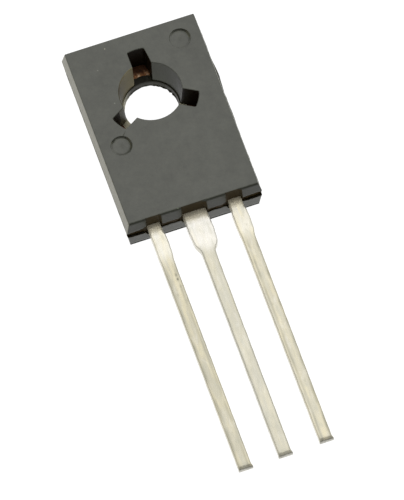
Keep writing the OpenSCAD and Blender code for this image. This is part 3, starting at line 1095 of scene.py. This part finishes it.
set_materials(emitter, [tin_left, sheared], tip_pick(Y_LOW - 14.95))
set_materials(base, [tin_right, sheared], tip_pick(Y_LOW - 14.83))
set_materials(collector, [tin_mid, sheared, copper], collector_pick)
set_materials(nodes["silicon_die"], [simple_metal("silicon", (0.10, 0.105, 0.12), (0.17, 0.175, 0.20), 0.12, 3000, 0.6)])
set_materials(nodes["die_attach_solder"], [simple_metal("solder", (0.35, 0.35, 0.345), (0.55, 0.55, 0.54), 0.38, 5000)])
wire_mat = simple_metal("bond_wire_aluminium", (0.72, 0.72, 0.73), (0.86, 0.86, 0.87), 0.22, 9000)
set_materials(nodes["emitter_bond_wire"], [wire_mat])
set_materials(nodes["base_bond_wire"], [wire_mat])

for piece, node, slot in ((body, "epoxy_body", "moulding_compound"), (collector, "collector_tab_and_lead", "tinned_copper"),
                          (emitter, "emitter_lead", "tinned_copper"), (base, "base_lead", "tinned_copper")):
    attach(piece, "root")
    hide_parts(node)

# ---------------------------------------------------------------- stage, light, camera
def emission_floor():
    m = bpy.data.materials.new("white_floor")
    m.use_nodes = True
    t = m.node_tree
    b = t.nodes["Principled BSDF"]
    b.inputs["Base Color"].default_value = (0.15, 0.15, 0.15, 1)
    b.inputs["Roughness"].default_value = 0.9
    b.inputs["Emission Color"].default_value = (1, 1, 1, 1)
    b.inputs["Emission Strength"].default_value = 1.0
    return m


me = bpy.data.meshes.new("floor")
n = 24
grid = [(x * 18.0 / n - 9.0, y * 18.0 / n - 9.0, -0.00001) for y in range(n + 1) for x in range(n + 1)]
quads = [(y * (n + 1) + x, y * (n + 1) + x + 1, (y + 1) * (n + 1) + x + 1, (y + 1) * (n + 1) + x) for y in range(n) for x in range(n)]
me.from_pydata(grid, [], quads)
floor = bpy.data.objects.new("floor", me)
scene.collection.objects.link(floor)
floor.data.materials.append(emission_floor())

world = bpy.data.worlds.new("studio")
scene.world = world
world.use_nodes = True
wt = world.node_tree
bg = wt.nodes["Background"]
coord = wt.nodes.new("ShaderNodeTexCoord").outputs["Generated"]
split = wt.nodes.new("ShaderNodeSeparateXYZ")
wt.links.new(coord, split.inputs[0])


def sky_math(op, a, b=None, clamp=False):
    n = wt.nodes.new("ShaderNodeMath")
    n.operation, n.use_clamp = op, clamp
    for k, v in enumerate((a, b)):
        if isinstance(v, (int, float)):
            n.inputs[k].default_value = v
        elif v is not None:
            wt.links.new(v, n.inputs[k])
    return n.outputs[0]


# A pale tent, dim above on the leads' side, where the photographer stands
behind = sky_math("DIVIDE", sky_math("ADD", split.outputs[1], 0.30), 0.55, clamp=True)
high = sky_math("DIVIDE", sky_math("SUBTRACT", split.outputs[2], 0.10), 0.25, clamp=True)
dim = sky_math("MULTIPLY", sky_math("SUBTRACT", 1.0, behind), high)
level = sky_math("SUBTRACT", 0.78, sky_math("MULTIPLY", dim, 0.40))
below = sky_math("MULTIPLY", split.outputs[2], -200.0, clamp=True)
level = sky_math("ADD", level, sky_math("MULTIPLY", sky_math("SUBTRACT", 1.0, level), below))
wt.links.new(level, bg.inputs["Strength"])
bg.inputs["Color"].default_value = (1.0, 1.0, 1.0, 1)


def area(name, direction, dist, size, power, target=(0, -0.004, 0.001), colour=(1, 1, 1)):
    d = bpy.data.lights.new(name, "AREA")
    d.shape, d.size, d.energy, d.color = "DISK", size, power, colour
    o = bpy.data.objects.new(name, d)
    scene.collection.objects.link(o)
    v = Vector(direction).normalized()
    o.location = Vector(target) + v * dist
    o.rotation_mode = "QUATERNION"
    o.rotation_quaternion = (-v).to_track_quat("-Z", "Y")
    return o


area("key", (0.10, 0.38, 0.92), 0.30, 0.26, 0.165)

# camera solved from the leads, the edges of the body, the hole and its notches
rx, ry, rz = (math.radians(a) for a in (-24.986, -1.360, 18.963))
turn = Matrix.Rotation(rx, 3, "X") @ Matrix.Rotation(ry, 3, "Y") @ Matrix.Rotation(rz, 3, "Z")
px_per_mm, dist = 18.596, 700.0
centre = Vector((0.0, -2.18, 1.22))
t = Vector(((164.398 - 202) / px_per_mm, -(135.105 - 250) / px_per_mm, -dist))
cam_data = bpy.data.cameras.new("camera")
cam = bpy.data.objects.new("camera", cam_data)
scene.collection.objects.link(cam)
cam_data.sensor_width = 36
cam_data.lens = px_per_mm * dist * 36 / 500
cam_data.clip_start, cam_data.clip_end = 0.05, 10
inv = turn.transposed()
cam.rotation_mode = "QUATERNION"
cam.rotation_quaternion = inv.to_quaternion()
cam.location = (centre - inv @ t) * MM
scene.camera = cam
scene.view_settings.view_transform = "Standard"
scene.view_settings.look = "None"
